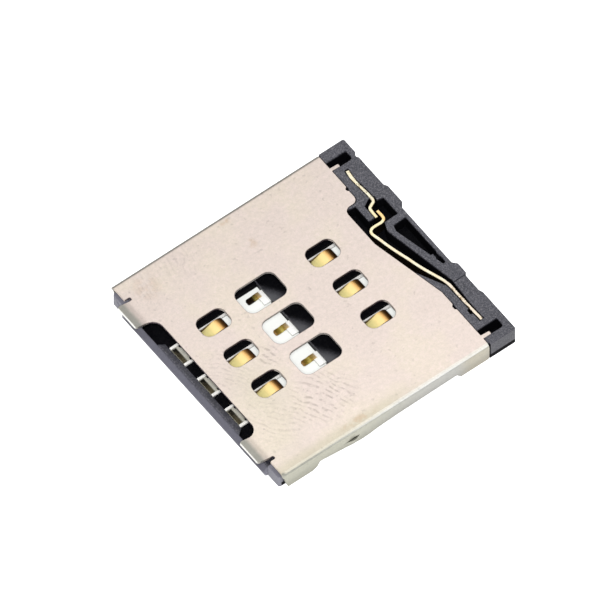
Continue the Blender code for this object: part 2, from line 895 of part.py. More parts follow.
def rib_saddle(bm):
    """The rib between the two parts of the core-out is lower than the block."""
    low, high = RIB_RANGE
    add_box(bm, (15.52, CORE_REAR_X - 0.04), (low - 0.05, high + 0.05), (RIB_TOP, 3.0))


def seam(bm):
    ys = (SEAM_Y - SEAM_WIDTH / 2, SEAM_Y + SEAM_WIDTH / 2)
    add_box(bm, (15.36, PAD_REAR_X + 1), ys, (HEIGHT - SEAM_DEPTH, 3.0))


def ramp(bm):
    """The slope on the front bar that leads the tray in."""
    side = rail_sides()[1]
    rise = (FLOOR_TOP - BAR_NOSE_Z) / (RAMP_END_X - BAR_FRONT_X)
    x_low, x_high = BAR_FRONT_X - 0.3, RAMP_END_X + 0.3
    z_low = BAR_NOSE_Z - 0.3 * rise
    z_high = FLOOR_TOP + 0.3 * rise
    profile = [(x_low, z_low), (x_high, z_high), (x_high, 3.0), (x_low, 3.0)]
    add_prism(bm, profile, side, COVER_WIDTH - side, along="y")


def tail_trough(bm):
    """The trough behind the front bar for the tails, wider at both ends."""
    corners = []
    for side in (-1, 1):
        end = [
            (BAR_INNER_X, CARD_AXIS_Y + side * (TROUGH_HALF - 0.10), 0.05),
            (TROUGH_END_X, CARD_AXIS_Y + side * (TROUGH_HALF + 0.15), 0.08),
            (TROUGH_END_X, CARD_AXIS_Y + side * TROUGH_END_HALF, 0.08),
            (TROUGH_REAR_X, CARD_AXIS_Y + side * TROUGH_END_HALF, 0),
        ]
        corners += end if side == -1 else end[::-1]
    add_prism(bm, fillet(corners, 3), WEB, 3.0)


def centre_opening(bm):
    ys = (CARD_AXIS_Y - TROUGH_HALF - 0.06, CARD_AXIS_Y + TROUGH_HALF + 0.06)
    add_box(bm, CENTRE_OPENING_X, ys, (-1.0, 3.0))


def contact_places():
    return [(x, y) for x in (FRONT_ROW_X, rear_row_x()) for y in column_ys()]


def frame_cavities(bm):
    """Room for each contact's frame inside the floor."""
    half = FRAME_HALF + FIT_GAP
    zs = (WEB, FRAME_TOP + FIT_GAP)
    for x, y in contact_places():
        front = BAND_FRONT if x == FRONT_ROW_X else BAND_FRONT - FIT_GAP
        add_box(bm, (x + front, x + FRAME_REAR + FIT_GAP), (y - half, y + half), zs)


def neck_tunnels(bm):
    """Passages in the floor from the rear frames to the centre opening."""
    zs = (WEB, FRAME_TOP + FIT_GAP)
    for y in column_ys():
        ys = (y + NECK_SIDES[0] - FIT_GAP, y + FRAME_HALF + FIT_GAP)
        add_box(bm, (CENTRE_OPENING_X[1] - 0.2, rear_row_x() + BAND_FRONT + 0.1), ys, zs)


def tongue_openings(bm):
    half = FRAME_HALF + FIT_GAP
    for x, y in contact_places():
        xs = (x + TONGUE_ROOT - 0.05, x + FRAME_OPEN_END + 0.05)
        add_box(bm, xs, (y - half, y + half), (WEB + 0.05, 3.0))


def tip_openings(bm):
    """Under each tongue's tip the floor is open to the board."""
    half = RAIL_INNER + FIT_GAP
    for x, y in contact_places():
        xs = (x + TIP_OPENING[0], x + TIP_OPENING[1])
        add_box(bm, xs, (y - half, y + half), (-1.0, WEB + 0.1))


def build_base(material):
    bm = bmesh.new()
    add_prism(bm, base_outline(), 0.0, HEIGHT)
    base = finish("base_housing", bm, material)
    tools = (
        card_space,
        under_roof,
        rail_chamfers,
        rail_fronts,
        switch_slots,
        pin_holes,
        rear_pockets,
        rib_saddle,
        seam,
        ramp,
        tail_trough,
        centre_opening,
        frame_cavities,
        neck_tunnels,
        tongue_openings,
        tip_openings,
    )
    for tool in tools:
        cut(base, cutter("cutter_" + tool.__name__, tool))
    return base


# Materials


def plain_material(name, colour, metallic, roughness):
    material = bpy.data.materials.new(name)
    material.use_nodes = True
    shader = material.node_tree.nodes["Principled BSDF"]
    shader.inputs["Base Color"].default_value = (*colour, 1.0)
    shader.inputs["Metallic"].default_value = metallic
    shader.inputs["Roughness"].default_value = roughness
    return material


def build():
    for item in list(bpy.data.objects):
        bpy.data.objects.remove(item)
    cover_metal = plain_material("cover_metal", (0.83, 0.76, 0.68), 1.0, 0.38)
    base_plastic = plain_material("base_plastic", (0.03, 0.03, 0.035), 0.0, 0.5)
    contact_metal = plain_material("contact_metal", (0.88, 0.68, 0.33), 1.0, 0.3)
    switch_metal = plain_material("switch_metal", (0.87, 0.75, 0.48), 1.0, 0.32)
    build_cover(cover_metal)
    build_base(base_plastic)
    build_contacts(contact_metal)
    build_switch(switch_metal)


build()
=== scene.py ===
"""Looks of the micro-SIM card reader: finishes, rounded edges, light and camera, round the CAD
frame. Plan places are given in millimetres in the same drawing frame as the CAD's own source: X
from the front edge of the roof towards the switch, Y from the near side wall, Z up from the board.
"""

import math

import bmesh
import bpy
from mathutils import Matrix, Vector, noise


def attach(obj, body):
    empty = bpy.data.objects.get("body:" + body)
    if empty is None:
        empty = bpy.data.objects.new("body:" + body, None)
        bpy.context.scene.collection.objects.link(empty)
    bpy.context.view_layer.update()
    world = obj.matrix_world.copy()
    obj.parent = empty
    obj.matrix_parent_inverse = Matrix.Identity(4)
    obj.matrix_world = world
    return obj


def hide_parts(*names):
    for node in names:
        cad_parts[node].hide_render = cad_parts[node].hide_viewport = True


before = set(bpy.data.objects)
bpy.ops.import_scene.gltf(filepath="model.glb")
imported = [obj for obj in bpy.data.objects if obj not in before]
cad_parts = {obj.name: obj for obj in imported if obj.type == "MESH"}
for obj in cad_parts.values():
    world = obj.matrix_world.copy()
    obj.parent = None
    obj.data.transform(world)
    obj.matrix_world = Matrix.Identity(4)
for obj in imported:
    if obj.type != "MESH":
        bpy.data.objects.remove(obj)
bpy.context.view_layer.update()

MM = 0.001
ORIGIN = Vector((7.774222, 7.94, 0.0))

# Where the contacts and the windows stand
COLUMN_PITCH = 2.54
FRONT_ROW_X = 3.06
REAR_ROW_X = 10.68
WINDOW_X = 6.34

# The stamped openings of the cover: half their length and width, and their corners
SLOT_HALF = (0.95, 0.70)
SLOT_RADIUS = 0.48
WINDOW_HALF = (1.37, 0.93)
WINDOW_RADIUS = 0.50

# Where the cover's painted light and shade change softly: onto each wall, along the lips' bend,
# at their cut ends
NEAR_WALL_Y = (0.26, 0.12)
FAR_WALL_Y = (15.62, 15.70)
LIP_BEND_X = (-0.06, -0.40)
LIP_END_X = (-0.655, -0.685)


class Wire:
    """One output of a shader node. Arithmetic on it adds Math nodes."""

    def __init__(self, finish, socket):
        self.finish = finish
        self.socket = socket

    def maths(self, operation, *values):
        sockets = dict(enumerate(values))
        return self.finish.node("ShaderNodeMath", {"operation": operation}, sockets)

    def __add__(self, other):
        return self.maths("ADD", self, other)

    __radd__ = __add__

    def __sub__(self, other):
        return self.maths("SUBTRACT", self, other)

    def __rsub__(self, other):
        return self.maths("SUBTRACT", other, self)

    def __mul__(self, other):
        return self.maths("MULTIPLY", self, other)

    __rmul__ = __mul__

    def __truediv__(self, other):
        return self.maths("DIVIDE", self, other)

    def size(self):
        return self.maths("ABSOLUTE", self)

    def root(self):
        return self.maths("SQRT", self)

    def most(self, other):
        return self.maths("MAXIMUM", self, other)

    def step(self, low, high, start=0.0, end=1.0):
        """A smooth change from start at low to end at high."""
        settings = {"interpolation_type": "SMOOTHSTEP"}
        sockets = {"Value": self, "From Min": low, "From Max": high, "To Min": start, "To Max": end}
        if low > high:
            sockets.update({"From Min": high, "From Max": low, "To Min": end, "To Max": start})
        return self.finish.node("ShaderNodeMapRange", settings, sockets)

    def band(self, low, high, soft):
        """1 between low and high, with soft edges."""
        return self.step(low - soft, low + soft) * self.step(high + soft, high - soft)


class Finish:
    """A material under construction."""

    def __init__(self, name):
        self.material = bpy.data.materials.new(name)
        self.material.use_nodes = True
        self.tree = self.material.node_tree
        self.tree.nodes.clear()
        inside = self.node("ShaderNodeTexCoord", output="Object")
        scaled = self.vector("SCALE", inside, scale=1 / MM)
        self.place = self.vector("ADD", scaled, tuple(ORIGIN))
        self.x, self.y, self.z = self.split(self.place)

    def node(self, kind, settings=None, sockets=None, output=0, stops=None):
        """Any node: its settings first, then the values or links of its sockets."""
        made = self.tree.nodes.new(kind)
        for key, value in (settings or {}).items():
            setattr(made, key, value)
        for k, (where, colour) in enumerate(stops or ()):
            ramp = made.color_ramp.elements
            stop = ramp[k] if k < 2 else ramp.new(where)
            stop.position = where
            stop.color = (*colour, 1.0)
        for key, value in (sockets or {}).items():
            if isinstance(value, Wire):
                self.tree.links.new(value.socket, made.inputs[key])
            else:
                made.inputs[key].default_value = value
        return Wire(self, made.outputs[output])

    def vector(self, operation, *values, scale=None):
        sockets = dict(enumerate(values))
        if scale is not None:
            sockets["Scale"] = scale
        return self.node("ShaderNodeVectorMath", {"operation": operation}, sockets)

    def split(self, wire):
        made = self.node("ShaderNodeSeparateXYZ", None, {0: wire})
        outputs = made.socket.node.outputs
        return [Wire(self, outputs[k]) for k in range(3)]

    def noise(self, scale, detail, rough, stretch=None):
        """Noise whose grain is about 1 / scale millimetres, from 0 to 1."""
        where = self.place
        if stretch:
            where = self.vector("MULTIPLY", where, stretch)
        sockets = {"Vector": where, "Scale": scale, "Detail": detail, "Roughness": rough}
        return self.node("ShaderNodeTexNoise", {"noise_dimensions": "3D"}, sockets)

    def mix(self, amount, one, other):
        """A colour between two colours."""
        one, other = [c if isinstance(c, Wire) else (*c, 1.0) for c in (one, other)]
        settings = {"data_type": "RGBA", "clamp_factor": True}
        return self.node("ShaderNodeMix", settings, {0: amount, 6: one, 7: other}, output=2)

    def shade(self, colour, factor):
        """A colour made lighter or darker by a number."""
        whole = self.node("ShaderNodeCombineXYZ", None, {0: factor, 1: factor, 2: factor})
        return self.vector("MULTIPLY", colour, whole)

    def bump(self, height, distance, strength, normal):
        """A normal that rises and falls with a height, by so many millimetres."""
        sockets = {"Height": height, "Distance": distance * MM, "Strength": strength}
        return self.node("ShaderNodeBump", None, {**sockets, "Normal": normal})

    def surface(self, sockets):
        return self.output(self.node("ShaderNodeBsdfPrincipled", None, sockets))

    def output(self, shader):
        out = self.tree.nodes.new("ShaderNodeOutputMaterial")
        self.tree.links.new(shader.socket, out.inputs["Surface"])
        return self.material


# Finishes

BEVEL_SAMPLES = 6


def edge_normal(f, radius):
    """The normal with the piece's edges rounded off by a small radius, in millimetres."""
    return f.node("ShaderNodeBevel", {"samples": BEVEL_SAMPLES}, {"Radius": radius * MM})


def smudge(f, centre, size, inner):
    """1 in the middle of an oval patch of the roof and 0 outside it."""
    away = f.vector("SUBTRACT", f.place, (*centre, 0.0))
    away = f.vector("MULTIPLY", away, (1 / size[0], 1 / size[1], 0.0))
    far = f.node("ShaderNodeVectorMath", {"operation": "LENGTH"}, {0: away}, output="Value")
    return far.step(1.0, inner)


def smudges(f, patches, inner):
    """Several patches together, each given by its middle, its half size and its strength."""
    parts = [smudge(f, centre, size, inner) * strength for centre, size, strength in patches]
    whole = parts[0]
    for part in parts[1:]:
        whole = whole + part
    return whole


# Rows of strokes on the roof: the direction across them, how much they wander, their spacing,
# where the noise breaks them, and the patches that show them
STROKES = (
    ((0.895, 0.446), 1.1, 0.34, (0.42, 0.56), (
        ((4.9, 2.9), (2.8, 2.3), 1.0),
        ((4.2, 6.9), (1.1, 1.0), 1.0),
    )),
    ((0.80, 0.60), 1.3, 0.28, (0.40, 0.60), (
        ((1.8, 3.3), (1.9, 2.4), 0.55),
        ((1.7, 7.4), (1.8, 2.4), 0.55),
    )),
    ((0.96, -0.28), 1.5, 0.27, (0.40, 0.60), (
        ((3.9, 14.9), (2.4, 1.5), 0.40),
        ((1.3, 14.4), (1.3, 1.6), 0.40),
    )),
)
STROKE_EDGES = (-0.1, 0.9)
MARKS_INNER = 0.3

# Brown stains, and the front of the roof, which is a little olive
STAINS = (
    ((5.6, 0.50), (1.7, 0.36), 1.0),
    ((7.95, 13.40), (0.42, 0.46), 1.0),
    ((1.5, 14.6), (1.3, 1.3), 0.5),
    ((7.6, 15.40), (0.7, 0.22), 1.0),
)
STAINS_INNER = 0.2
OLIVE = (((2.3, 5.2), (2.5, 3.6), 1.0), ((1.2, 1.8), (2.4, 2.0), 0.7))
OLIVE_INNER = 0.1


def fingermarks(f):
    """Where fingertips touched the roof: rows of strokes in a few patches, from 0 to 1."""
    wander = f.noise(0.55, 2.0, 0.5)
    breaks = f.noise(3.1, 3.0, 0.65)
    marks = None
    for (lean_x, lean_y), waves, spacing, broken, patches in STROKES:
        across = f.x * lean_x + f.y * lean_y + wander * waves
        turns = across * (math.tau / spacing)
        strokes = turns.maths("SINE", turns).step(*STROKE_EDGES) * breaks.step(*broken)
        strokes = strokes * smudges(f, patches, MARKS_INNER)
        marks = marks + strokes if marks else strokes
    return marks


def opening_rim(x, y, half, radius):
    """1 along the edge of a rounded opening, where a thin rim of painted shade stands for the
    rolled edge that stamping leaves.
    """
    outside = [(value.size() - (size - radius)).most(0.0) for value, size in zip((x, y), half)]
    away = (outside[0] * outside[0] + outside[1] * outside[1]).root()
    return (away - radius).size().step(0.045, 0.015)


def cover_finish():
    """Bright nickel-silver sheet, a little pink, with faint clouds, specks and handling marks, and
    painted light and shade on its walls, folds, lips and cut edges.
    """
    f = Finish("cover_sheet")
    clouds = f.noise(0.30, 3.0, 0.55)
    mottle = f.noise(1.9, 4.0, 0.65)
    grain = f.noise(11.0, 2.0, 0.6)
    fleck = f.noise(4.6, 3.0, 0.7)
    specks = f.noise(3.4, 1.0, 0.4).step(0.69, 0.76)
    marks = fingermarks(f)
    near_wall = f.y.step(*NEAR_WALL_Y)
    lip_end = f.x.step(*LIP_END_X)
    flat = 1 - (near_wall + f.y.step(*FAR_WALL_Y))
    tone = (clouds - 0.5) * 0.16 + (mottle - 0.5) * 0.16 + (grain - 0.5) * 0.20
    tone = tone + (fleck - 0.5) * 0.26 - (f.y - 8.0) * 0.009 * flat - (f.x - 8.0) * 0.001
    tone = tone - flat * 0.055 - marks * 0.175 - specks * 0.12
    # Along the near fold the roof is painted in shade, darker and more olive, most in front
    dull_and_shade = f.y.step(1.05, 0.35) * f.x.step(11.0, 6.5)
    warm = f.mix(clouds.step(0.42, 0.62), (0.835, 0.720, 0.650), (0.825, 0.722, 0.620))
    warm = f.mix(fleck.step(0.52, 0.66) * 0.5, warm, (0.86, 0.725, 0.675))
    warm = f.mix(dull_and_shade * 0.75, warm, (0.66, 0.60, 0.46))
    stain = mottle.step(0.40, 0.60) * smudges(f, STAINS, STAINS_INNER)
    warm = f.mix(stain * 0.5, warm, (0.58, 0.42, 0.27))
    warm = f.mix(smudges(f, OLIVE, OLIVE_INNER) * 0.5, warm, (0.74, 0.68, 0.53))
    # Painted shade: the walls are greyer and darker than the roof, and darker towards the bottom
    front = f.mix(f.x.step(4.0, 11.0), (0.57, 0.56, 0.475), (0.57, 0.56, 0.53))
    wall = f.mix(f.x.step(12.0, 13.2), front, (0.61, 0.57, 0.48))
    wall = f.shade(wall, f.z.step(0.95, 0.20, 1.02, 0.86))
    # The far fold is painted in dark shade
    far_fold = f.mix(f.y.step(15.60, 15.72), warm, (0.32, 0.30, 0.27))
    sheet = f.mix(near_wall, far_fold, wall)
    # Painted shade along the lips' bend, and a painted highlight at their cut ends
    sheet = f.mix(f.x.step(*LIP_BEND_X) * 0.85, sheet, (0.42, 0.42, 0.37))
    sheet = f.mix(lip_end, sheet, (0.90, 0.88, 0.84))
    # The cut edges round the openings, less metallic than the roof: painted in shade, almost black,
    # in the slots, and painted lighter in the windows and at the slots' rear ends
    cut = f.z.step(1.2005, 1.2040) * f.z.step(1.330, 1.300) * flat
    cut = cut * f.x.step(0.10, 0.20) * f.x.step(14.30, 14.25)
    window = f.x.band(4.0, 9.2, 0.05)
    slot_end = f.x.band(FRONT_ROW_X + 0.82, FRONT_ROW_X + 1.0, 0.05)
    slot_end = slot_end + f.x.band(REAR_ROW_X + 0.82, REAR_ROW_X + 1.0, 0.05)
    edge = f.mix(window, (0.06, 0.04, 0.055), (0.34, 0.31, 0.29))
    edge = f.mix(slot_end, edge, (0.60, 0.54, 0.50))
    sheet = f.mix(cut, sheet, edge)
    across = column_offset(f)
    # A thin rim of painted shade round each slot and window
    rim = opening_rim(f.x - FRONT_ROW_X, across, SLOT_HALF, SLOT_RADIUS)
    rim = rim.most(opening_rim(f.x - REAR_ROW_X, across, SLOT_HALF, SLOT_RADIUS))
    rim = rim.most(opening_rim(f.x - WINDOW_X, across, WINDOW_HALF, WINDOW_RADIUS))
    columns = f.y.band(ORIGIN.y - 1.5 * COLUMN_PITCH, ORIGIN.y + 1.5 * COLUMN_PITCH, 0.02)
    sheet = f.mix(rim * columns * f.z.step(1.315, 1.325) * 0.55, sheet, (0.40, 0.35, 0.33))
    # A painted highlight that runs along the near fold, and along the lips' cut ends
    shine = f.z.band(1.22, 1.28, 0.03) * f.y.step(0.28, 0.20) * f.x.step(1.0, 9.0, 0.15, 0.75)
    shine = shine + lip_end * f.y.step(6.0, 10.0, 0.25, 0.75)
    # Above it the fold is painted as pale as the roof, painted light, and made less metallic
    fold = f.z.step(1.268, 1.282) * f.z.step(1.3475, 1.340) * f.y.step(0.26, 0.20)
    fold = fold * f.x.step(0.05, 0.30) * (1 - cut)
    pale = f.mix(f.x.step(2.0, 11.0), (0.73, 0.68, 0.55), (0.84, 0.80, 0.72))
    sheet = f.mix(fold * 0.8, sheet, pale)
    sheet = f.mix(shine, sheet, (1.0, 0.99, 0.94))
    colour = f.shade(sheet, tone + 1.0)
    rough = (mottle - 0.5) * 0.15 + (grain - 0.5) * 0.10 + 0.42 + marks * 0.08
    height = grain * 0.5 + mottle * 0.4 - marks * 0.3
    return f.surface(
        {
            "Base Color": colour,
            "Metallic": 0.95 - shine * 0.85 - (cut * 0.90 + fold * 0.65) * (1 - shine),
            "Roughness": rough,
            "Normal": f.bump(height, 0.004, 0.6, edge_normal(f, 0.03)),
        }
    )


# Where the base's painted light and shade change: the front bar and its ends, the rim of the
# pockets, the rear block's outer faces, the gap behind the roof, the front edge of the floor, and
# the underside
BAR_LIT_X = (0.14, -0.06)
BAR_ENDS_Y = ((1.6, 1.5), (14.2, 14.3))
BAR_INNER_X = (0.14, 0.46)
POCKET_RIM_Z = (1.31, 1.18)
BLOCK_OUTER_X = (15.9, 15.84)
ROOF_GAP_X = (14.38, 14.46)
FLOOR_EDGE_X = (6.90, 6.96)
FLOOR_END_X = 8.40
UNDERSIDE_Z = (0.05, 0.03)

# The slots of the two switch strips: their lengths, and the place of the painted shadow
# line from the strip
ARM_SLOT_Y = (1.70, 4.75)
FIXED_SLOT_Y = (11.75, 14.05)
SLOT_LINE = (-0.205, -0.10)


def base_finish():
    """Black moulded plastic with a fine grain, painted almost black in its pockets as shade, and
    with painted light and shade on its front bar.
    """
    f = Finish("base_moulding")
    grain = f.noise(14.0, 3.0, 0.65)
    flow = f.noise(1.3, 3.0, 0.5, stretch=(0.45, 1.0, 1.0))
    dull_and_shade = f.noise(5.0, 2.0, 0.6)
    speckle = f.noise(7.5, 2.0, 0.6)
    colour = f.mix(flow.step(0.35, 0.70), (0.036, 0.036, 0.046), (0.058, 0.057, 0.070))
    colour = f.mix(grain.step(0.48, 0.66) * 0.8, colour, (0.150, 0.146, 0.165))
    colour = f.mix(grain.step(0.48, 0.36) * 0.8, colour, (0.012, 0.012, 0.018))
    colour = f.mix(speckle.step(0.56, 0.70) * 0.6, colour, (0.170, 0.160, 0.170))
    colour = f.mix(speckle.step(0.45, 0.33) * 0.6, colour, (0.014, 0.014, 0.020))
    # Painted highlights: the front bar's outer face is painted lighter, and its ends lighter still
    corner = f.x.step(0.36, 0.30) * (f.y.step(*BAR_ENDS_Y[0]) + f.y.step(*BAR_ENDS_Y[1]))
    lit_bar = f.x.step(*BAR_LIT_X).most(corner)
    colour = f.mix(lit_bar * (dull_and_shade * 0.5 + 0.6), colour, (0.118, 0.116, 0.144))
    colour = f.mix(corner * 0.6, colour, (0.21, 0.207, 0.245))
    # Painted shade on the inner side of the bar
    inner_bar = f.x.band(*BAR_INNER_X, 0.05) * f.z.step(0.50, 0.45)
    inner_bar = inner_bar * flow.step(0.20, 0.60, 1.0, 0.6)
    colour = f.mix(inner_bar * 0.75, colour, (0.016, 0.016, 0.024))
    # Painted shade, almost black, in the pockets, slots and on the rails under the roof, but not on
    # the rear block's outer faces
    deep = f.z.step(*POCKET_RIM_Z) * f.x.step(1.0, 1.5)
    deep = deep * f.x.step(*BLOCK_OUTER_X) * f.y.step(0.10, 0.30)
    # Painted shade on every low surface behind the front edge, and in the gap behind the roof
    trough = f.z.step(0.38, 0.33) * f.x.step(0.03, 0.07)
    gap = f.x.band(*ROOF_GAP_X, 0.02) * f.y.step(0.20, 0.10)
    # A painted shadow line along the front side of each switch strip's slot
    far_strip = (f.y - 13.3).size() * 0.07 + 15.035
    near_strip = 15.15 - f.y * 0.018
    strip = near_strip + f.y.step(7.9, 8.1) * (far_strip - near_strip)
    run = f.y.band(*ARM_SLOT_Y, 0.15) + f.y.band(*FIXED_SLOT_Y, 0.06)
    line = (f.x - strip).band(*SLOT_LINE, 0.012) * run
    deep = deep.most(trough).most(gap).most(line)
    # In the windows the floor's front edge and its near corner catch a little light
    across = column_offset(f)
    edge = f.x.band(*FLOOR_EDGE_X, 0.01) * f.z.step(0.10, 0.30)
    sheen = (f.x + across * 0.72).step(7.80, 6.95) * f.x.band(FLOOR_EDGE_X[0], FLOOR_END_X, 0.05)
    sheen = sheen * f.z.step(0.46, 0.42) * across.step(-1.20, -0.90)
    under = f.z.step(*UNDERSIDE_Z)
    colour = f.mix(sheen, colour, (0.060, 0.060, 0.067))
    deep = deep * (1 - edge * 0.85) * (1 - sheen) * (1 - under)
    rough = (grain - 0.5) * 0.22 + (flow - 0.5) * 0.12 + (dull_and_shade - 0.5) * 0.16 + 0.46
    normal = f.bump(grain * 0.6 + dull_and_shade * 0.4, 0.012, 0.9, edge_normal(f, 0.05))
    sockets = {"Base Color": colour, "Metallic": 0.0, "Roughness": rough, "Normal": normal}
    sockets["IOR"] = 1.55
    plastic = f.node("ShaderNodeBsdfPrincipled", None, sockets)
    # The almost black shader that paints the shade
    shade = f.mix(dull_and_shade, (0.0006, 0.0006, 0.001), (0.003, 0.003, 0.004))
    sockets = {"Base Color": shade, "Roughness": 0.7, "Normal": normal}
    sockets["Specular IOR Level"] = 0.05
    dark = f.node("ShaderNodeBsdfPrincipled", None, sockets)
    return f.output(f.node("ShaderNodeMixShader", None, {0: deep * 0.97, 1: plastic, 2: dark}))


def column_offset(f):
    """How far across from the middle of the nearest contact column."""
    turned = (f.y - (ORIGIN.y - 1.5 * COLUMN_PITCH)) / COLUMN_PITCH
    return (turned.maths("FRACT", turned) - 0.5) * COLUMN_PITCH


# Along each tongue from the middle of its slot: its root, and where the gold starts and how far
# it runs, darkening into painted shade at its tip. Then where the tails start, and the place of
# the switching fingers in the windows
TONGUE_ROOT = (-1.95, -1.85)
GOLD_START = -1.2
GOLD_RUN = 2.1
TAIL_START_X = (1.15, 1.05)
FINGER_X = (5.75, 6.70)
FINGER_GOLD_X = 5.8
FINGER_ACROSS = (0.34, 0.77)


def contact_finish():
    """Matt nickel frames, with gold on the sprung tongues and on the switching fingers, and painted
    shade on the tongues' tips, on the fingers and on the tails.
    """
    f = Finish("contact_plating")
    across = column_offset(f)
    along = f.x - FRONT_ROW_X - f.x.step(5.29, 5.30) * (REAR_ROW_X - FRONT_ROW_X)
    tongue = f.z.step(0.22, 0.27) * across.size().step(0.54, 0.50) * along.step(*TONGUE_ROOT)
    grain = f.noise(12.0, 2.0, 0.6)
    patches = f.noise(2.4, 3.0, 0.6)
    nickel = f.mix(patches.step(0.35, 0.65), (0.88, 0.88, 0.85), (0.94, 0.935, 0.91))
    # Painted shade on the front tails: their plates darker, darkest towards their front
    tail = f.x.step(*TAIL_START_X)
    nickel = f.mix(tail * patches.step(0.30, 0.60, 0.8, 1.0), nickel, (0.50, 0.485, 0.42))
    nickel = f.mix(tail * f.x.step(0.60, 0.54), nickel, (0.34, 0.33, 0.26))
    # The gold turns brown and near black towards each tongue's tip: painted shade where the tip
    # bends down
    gold = f.node(
        "ShaderNodeValToRGB",
        None,
        {0: (along - GOLD_START) / GOLD_RUN},
        stops=(
            (0.00, (0.93, 0.84, 0.38)),
            (0.40, (0.98, 0.84, 0.36)),
            (0.66, (0.97, 0.71, 0.31)),
            (0.76, (0.74, 0.42, 0.14)),
            (0.86, (0.26, 0.11, 0.03)),
            (1.00, (0.10, 0.04, 0.015)),
        ),
    )
    # Along each switching finger the gold is painted in bands of shade and highlight where it bends
    finger_band = f.x.band(*FINGER_X, 0.06) * across.band(*FINGER_ACROSS, 0.03)
    finger = f.node(
        "ShaderNodeValToRGB",
        None,
        {0: f.x - FINGER_GOLD_X + (patches - 0.5) * 0.25},
        stops=(
            (0.00, (0.62, 0.36, 0.12)),
            (0.14, (0.28, 0.17, 0.03)),
            (0.32, (0.44, 0.31, 0.05)),
            (0.46, (0.88, 0.74, 0.20)),
            (0.58, (0.52, 0.34, 0.06)),
            (0.78, (0.86, 0.60, 0.26)),
            (1.00, (0.95, 0.84, 0.62)),
        ),
    )
    # The finger in the far window is painted in shadow
    shaded = f.y.step(9.4, 9.7) * f.x.step(6.45, 6.15) * patches.step(0.25, 0.50, 0.8, 1.0)
    finger = f.mix(shaded, finger, (0.020, 0.010, 0.004))
    plated = f.mix(finger_band, nickel, finger)
    colour = f.mix(tongue, plated, gold)
    # Painted shade along the far edge of each tongue's slope, most where it leaves its frame
    edge = (across - (along - GOLD_START) * 0.05).step(0.24, 0.28) * along.step(0.25, -0.15)
    colour = f.mix(tongue * edge * 0.9, colour, (0.13, 0.060, 0.020))
    gilt = tongue.most(finger_band)
    rails = across.size().step(0.56, 0.60)
    bare = rails * (1 - gilt) * (1 - tail * f.x.step(0.52, 0.46))
    colour = f.mix(bare, colour, (0.98, 0.965, 0.93))
    shadow = across.band(0.58, 0.655, 0.015) * along.band(-1.6, -0.35, 0.35) * (1 - tail)
    colour = f.mix(shadow * (1 - gilt), colour, (0.12, 0.055, 0.02))
    rough = (grain - 0.5) * 0.15 + 0.46 - gilt * 0.14
    return f.surface(
        {
            "Base Color": colour,
            "Metallic": gilt * 0.75 + 0.12,
            "Roughness": rough,
            "Normal": f.bump(grain, 0.003, 0.5, edge_normal(f, 0.02)),
        }
    )


def switch_finish():
    """Pale gold-plated spring strip, a little uneven along its cut edge, with painted shade, almost
    black, on its sides below the top.
    """
    f = Finish("switch_plating")
    grain = f.noise(9.0, 3.0, 0.6)
    runs = f.noise(1.6, 3.0, 0.6)
    ends = f.y.step(4.9, 4.3) + f.y.step(11.7, 12.1)
    joints = f.noise(2.6, 2.0, 0.6).band(0.538, 0.575, 0.012)
    colour = f.mix(runs.step(0.38, 0.60), (0.86, 0.74, 0.50), (0.90, 0.85, 0.66))
    colour = f.mix(f.y.step(5.2, 4.6), colour, (0.84, 0.73, 0.58))
    colour = f.mix(ends * joints, colour, (0.33, 0.24, 0.12))
    hook = f.y.band(9.9, 11.0, 0.2) * f.x.step(14.64, 14.74)
    colour = f.mix(hook, colour, (0.94, 0.66, 0.30))
    colour = f.mix(f.y.band(9.6, 11.3, 0.4) * (1 - hook) * 0.5, colour, (0.93, 0.78, 0.40))
    # Painted shade, almost black, low on the strip's sides
    colour = f.mix(f.z.step(1.262, 1.215), colour, (0.006, 0.004, 0.002))
    rough = (grain - 0.5) * 0.20 + 0.40
    return f.surface(
        {
            "Base Color": f.shade(colour, (grain - 0.5) * 0.30 + 1.0),
            "Metallic": 0.45 * f.z.step(1.20, 1.26),
            "Roughness": rough,
            "Normal": f.bump(grain, 0.010, 0.8, edge_normal(f, 0.03)),
        }
    )


# Stage

# The paper lies this many millimetres under the reader, and reaches so many metres each way.
# It is shaded under the reader, and dark under the pins of the switch strips
FLOOR_GAP = 0.02
FLOOR_HALF = 0.6
SHADED_X = (1.2, 13.2)
SHADED_Y = (2.0, 13.8)
PINS_X = (14.75, 15.45)
PINS_Y = ((2.45, 3.35), (13.05, 13.95))


